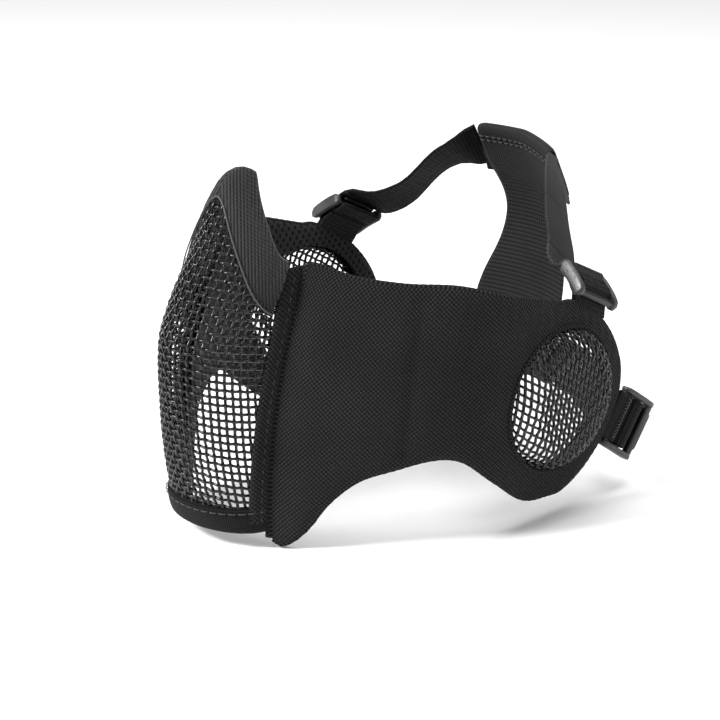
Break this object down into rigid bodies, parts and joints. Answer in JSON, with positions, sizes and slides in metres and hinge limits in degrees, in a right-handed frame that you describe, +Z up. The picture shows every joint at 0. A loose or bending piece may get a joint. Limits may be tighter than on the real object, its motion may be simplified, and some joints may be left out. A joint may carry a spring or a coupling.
{
  "type": "lower-face field mask",
  "caption": "Lower-face field mask: formed woven-wire front, padded folding cheek wings with wire ear domes, and an elastic head harness with ladder-lock buckles.",
  "frame": {"origin": "centre of the mask's footprint box, on the floor that it stands on", "axes": "+Z up; the mask faces -Y; +X is the wearer's left"},
  "size_m": [0.1808, 0.1956, 0.1399],
  "materials": {
    "wire_coating": "satin black coating on woven steel wire",
    "cover_nylon": "matte black basket-weave nylon",
    "ribbed_knit": "black padded fabric, ribbed",
    "spacer_lining": "black open spacer mesh",
    "pad_foam": "soft dark grey foam, closed by the cover",
    "webbing": "black woven elastic webbing",
    "buckle_plastic": "moulded black plastic"
  },
  "bodies": {
    "front_shell": {"front_mesh": "wire_coating", "nose_binding": "ribbed_knit", "nose_foam": "pad_foam", "chin_binding": "cover_nylon", "left_hem_strip": "cover_nylon", "right_hem_strip": "cover_nylon"},
    "left_wing": {"left_cheek_cover": "cover_nylon", "left_cheek_foam": "pad_foam", "left_cheek_lining": "spacer_lining", "left_ear_dome": "wire_coating", "left_ear_ring": "cover_nylon", "left_upper_tab": "webbing", "left_lower_tab": "webbing"},
    "left_upper_buckle": {"left_upper_buckle": "buckle_plastic"},
    "left_lower_buckle": {"left_lower_buckle": "buckle_plastic"},
    "right_wing": {"right_cheek_cover": "cover_nylon", "right_cheek_foam": "pad_foam", "right_cheek_lining": "spacer_lining", "right_ear_dome": "wire_coating", "right_ear_ring": "cover_nylon", "right_upper_tab": "webbing", "right_lower_tab": "webbing"},
    "right_upper_buckle": {"right_upper_buckle": "buckle_plastic"},
    "right_lower_buckle": {"right_lower_buckle": "buckle_plastic"},
    "harness_yoke": {"upper_strap": "webbing"},
    "back_panel": {"back_panel": "webbing", "lower_strap": "webbing"}
  },
  "joints": [
    {"name": "left_wing_fold", "type": "hinge", "parent": "front_shell", "child": "left_wing", "pos_m": [0.026, -0.0658, 0.05424], "axis": [0, 0.207, 0.9783], "range_deg": [-15, 18], "stiffness_Nm_per_rad": 0.8},
    {"name": "left_upper_buckle_tilt", "type": "hinge", "parent": "left_wing", "child": "left_upper_buckle", "pos_m": [0.075, 0.0517, 0.08674], "axis": [0.098, -0.8875, 0.4503], "range_deg": [-12, 40], "stiffness_Nm_per_rad": 0.03},
    {"name": "left_lower_buckle_tilt", "type": "hinge", "parent": "left_wing", "child": "left_lower_buckle", "pos_m": [0.0732, 0.0697, 0.02874], "axis": [0.0036, 0.5711, 0.8209], "range_deg": [-20, 60], "stiffness_Nm_per_rad": 0.03},
    {"name": "right_wing_fold", "type": "hinge", "parent": "front_shell", "child": "right_wing", "pos_m": [-0.026, -0.0658, 0.05424], "axis": [0, -0.207, -0.9783], "range_deg": [-15, 18], "stiffness_Nm_per_rad": 0.8},
    {"name": "right_upper_buckle_tilt", "type": "hinge", "parent": "right_wing", "child": "right_upper_buckle", "pos_m": [-0.075, 0.0517, 0.08674], "axis": [0.098, 0.8875, -0.4503], "range_deg": [-12, 40], "stiffness_Nm_per_rad": 0.03},
    {"name": "right_lower_buckle_tilt", "type": "hinge", "parent": "right_wing", "child": "right_lower_buckle", "pos_m": [-0.0732, 0.0697, 0.02874], "axis": [0.0036, -0.5711, -0.8209], "range_deg": [-20, 60], "stiffness_Nm_per_rad": 0.03},
    {"name": "harness_stretch", "type": "slide", "parent": "front_shell", "child": "harness_yoke", "axis": [0, 1, 0], "range_m": [0, 0.035], "stiffness_N_per_m": 60, "deforming": ["upper_strap", "lower_strap"]},
    {"name": "back_panel_swing", "type": "hinge", "parent": "harness_yoke", "child": "back_panel", "pos_m": [0, 0.09116, 0.11978], "axis": [1, 0, 0], "range_deg": [-15, 30], "stiffness_Nm_per_rad": 0.1, "deforming": ["lower_strap"]}
  ]
}
